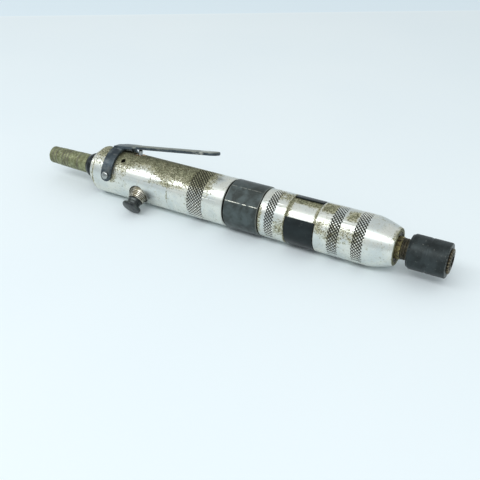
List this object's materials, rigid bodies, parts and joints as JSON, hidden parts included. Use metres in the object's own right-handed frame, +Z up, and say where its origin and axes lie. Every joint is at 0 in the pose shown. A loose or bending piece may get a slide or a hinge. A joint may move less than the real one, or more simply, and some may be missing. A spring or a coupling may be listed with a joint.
{
  "type": "inline pneumatic screwdriver",
  "caption": "Straight air screwdriver: lever throttle, side reversing button, planetary gear case with wrench flats, adjustable ball clutch under a split band, quick-change hex bit chuck.",
  "frame": {"origin": "bottom centre of the bounding box: the tool lies on a flat surface at z = 0", "axes": "+X along the tool towards the bit chuck, +Z up, +Y to the side away from the reversing button"},
  "size_m": [0.3014, 0.0476, 0.0467],
  "materials": {
    "handle_plate": "satin nickel-chrome plate, worn through to an olive-brown patina on top, pitted edges",
    "front_plate": "satin nickel-chrome plate with small rust patches",
    "bright_ring": "bright polished plate",
    "blued_steel": "dark blued steel, edges worn bright",
    "lever_steel": "dark blued sheet steel, edges worn",
    "black_steel": "black oxide",
    "chuck_steel": "black oxide, satin, fine turned lines",
    "chuck_collar": "worn, browned steel",
    "button_steel": "black oxide, worn at the rim",
    "boss_nickel": "worn nickel, tan stain in the grooves",
    "fitting_brass": "tarnished brass with green and purple-brown patina",
    "neck_brass": "tarnished, oily yellow-olive metal",
    "screw_steel": "bright worn steel",
    "bearing_steel": "polished",
    "gear_steel": "ground hardened steel",
    "motor_iron": "ground iron, oily",
    "spring_steel": "oiled spring wire",
    "bronze": "turned bronze",
    "mesh_steel": "fine woven wire",
    "vane_phenolic": "cloth-filled phenolic",
    "seal_rubber": "matt black nitrile"
  },
  "bodies": {
    "root": {"inlet_fitting": "fitting_brass", "inlet_bushing": "black_steel", "exhaust_ring": "bright_ring", "inlet_screen": "mesh_steel", "handle_housing": "handle_plate", "lever_pivot_screw_near": "screw_steel", "lever_pivot_screw_far": "screw_steel", "throttle_valve_bushing": "bronze", "throttle_valve_spring": "spring_steel", "reverse_bushing": "boss_nickel", "reverse_spring": "spring_steel", "motor_rear_plate": "motor_iron", "rotor_rear_bearing": "bearing_steel", "motor_cylinder": "motor_iron", "motor_front_plate": "motor_iron", "rotor_front_bearing": "bearing_steel", "gear_case": "blued_steel", "carrier_bearing": "bearing_steel", "clutch_housing": "front_plate", "nose_housing": "front_plate", "spindle_rear_bearing": "bearing_steel", "bearing_spacer": "motor_iron", "spindle_front_bearing": "bearing_steel", "nose_retainer": "neck_brass"},
    "lever": {"throttle_lever": "lever_steel"},
    "throttle_valve": {"throttle_valve_stem": "screw_steel"},
    "reverse_plunger": {"reverse_button": "button_steel", "reverse_button_seal": "seal_rubber"},
    "motor_rotor": {"rotor": "gear_steel", "vane_1": "vane_phenolic", "vane_2": "vane_phenolic", "vane_3": "vane_phenolic", "vane_4": "vane_phenolic"},
    "output_spindle": {"planet_carrier": "gear_steel", "planet_pin_1": "gear_steel", "planet_pin_2": "gear_steel", "planet_pin_3": "gear_steel", "clutch_driving_plate": "gear_steel", "clutch_ball_1": "bearing_steel", "clutch_ball_2": "bearing_steel", "clutch_ball_3": "bearing_steel", "clutch_driven_plate": "gear_steel", "clutch_spring": "spring_steel", "clutch_adjusting_nut": "bronze", "spindle": "neck_brass", "chuck_body": "chuck_steel", "chuck_ball": "bearing_steel", "chuck_front_collar": "chuck_collar", "chuck_snap_ring": "spring_steel", "chuck_spring": "spring_steel"},
    "planet_1": {"planet_gear_1": "gear_steel"},
    "planet_2": {"planet_gear_2": "gear_steel"},
    "planet_3": {"planet_gear_3": "gear_steel"},
    "sleeve": {"chuck_sleeve": "chuck_steel"},
    "cover_band": {"clutch_cover_band": "black_steel"}
  },
  "joints": [
    {"name": "lever_press", "type": "hinge", "parent": "root", "child": "lever", "pos_m": [-0.0878, 0.00385, 0.01642], "axis": [0, 0.9563, -0.2924], "range_deg": [0, 7.5], "stiffness_Nm_per_rad": 1.2},
    {"name": "throttle_valve_travel", "type": "slide", "parent": "root", "child": "throttle_valve", "axis": [0, 0.2924, 0.9563], "range_m": [-0.0023, 0], "deforming": ["throttle_valve_spring"]},
    {"name": "reverse_press", "type": "slide", "parent": "root", "child": "reverse_plunger", "axis": [0, -0.866, -0.5], "range_m": [-0.0034, 0], "stiffness_N_per_m": 700, "deforming": ["reverse_spring"]},
    {"name": "spindle_spin", "type": "hinge", "parent": "root", "child": "output_spindle", "pos_m": [0.0659, 0.00385, 0.01642], "axis": [1, 0, 0], "continuous": true},
    {"name": "rotor_spin", "type": "hinge", "parent": "root", "child": "motor_rotor", "pos_m": [-0.0271, 0.00385, 0.01642], "axis": [1, 0, 0], "continuous": true},
    {"name": "planet_1_spin", "type": "hinge", "parent": "output_spindle", "child": "planet_1", "pos_m": [0.0139, 0.00385, 0.02317], "axis": [1, 0, 0], "continuous": true},
    {"name": "planet_2_spin", "type": "hinge", "parent": "output_spindle", "child": "planet_2", "pos_m": [0.0139, -0.00199, 0.01305], "axis": [1, 0, 0], "continuous": true},
    {"name": "planet_3_spin", "type": "hinge", "parent": "output_spindle", "child": "planet_3", "pos_m": [0.0139, 0.0097, 0.01305], "axis": [1, 0, 0], "continuous": true},
    {"name": "sleeve_slide", "type": "slide", "parent": "output_spindle", "child": "sleeve", "axis": [-1, 0, 0], "range_m": [0, 0.003], "stiffness_N_per_m": 900, "deforming": ["chuck_spring"]},
    {"name": "cover_band_turn", "type": "hinge", "parent": "root", "child": "cover_band", "pos_m": [0.0589, 0.00385, 0.01642], "axis": [1, 0, 0], "continuous": true}
  ],
  "couplings": [
    {"joint": "throttle_valve_travel", "follows": "lever_press", "m_per_rad": -0.0165},
    {"joint": "rotor_spin", "follows": "spindle_spin", "ratio": 4.5},
    {"joint": "planet_1_spin", "follows": "spindle_spin", "ratio": -2.8},
    {"joint": "planet_2_spin", "follows": "spindle_spin", "ratio": -2.8},
    {"joint": "planet_3_spin", "follows": "spindle_spin", "ratio": -2.8}
  ]
}
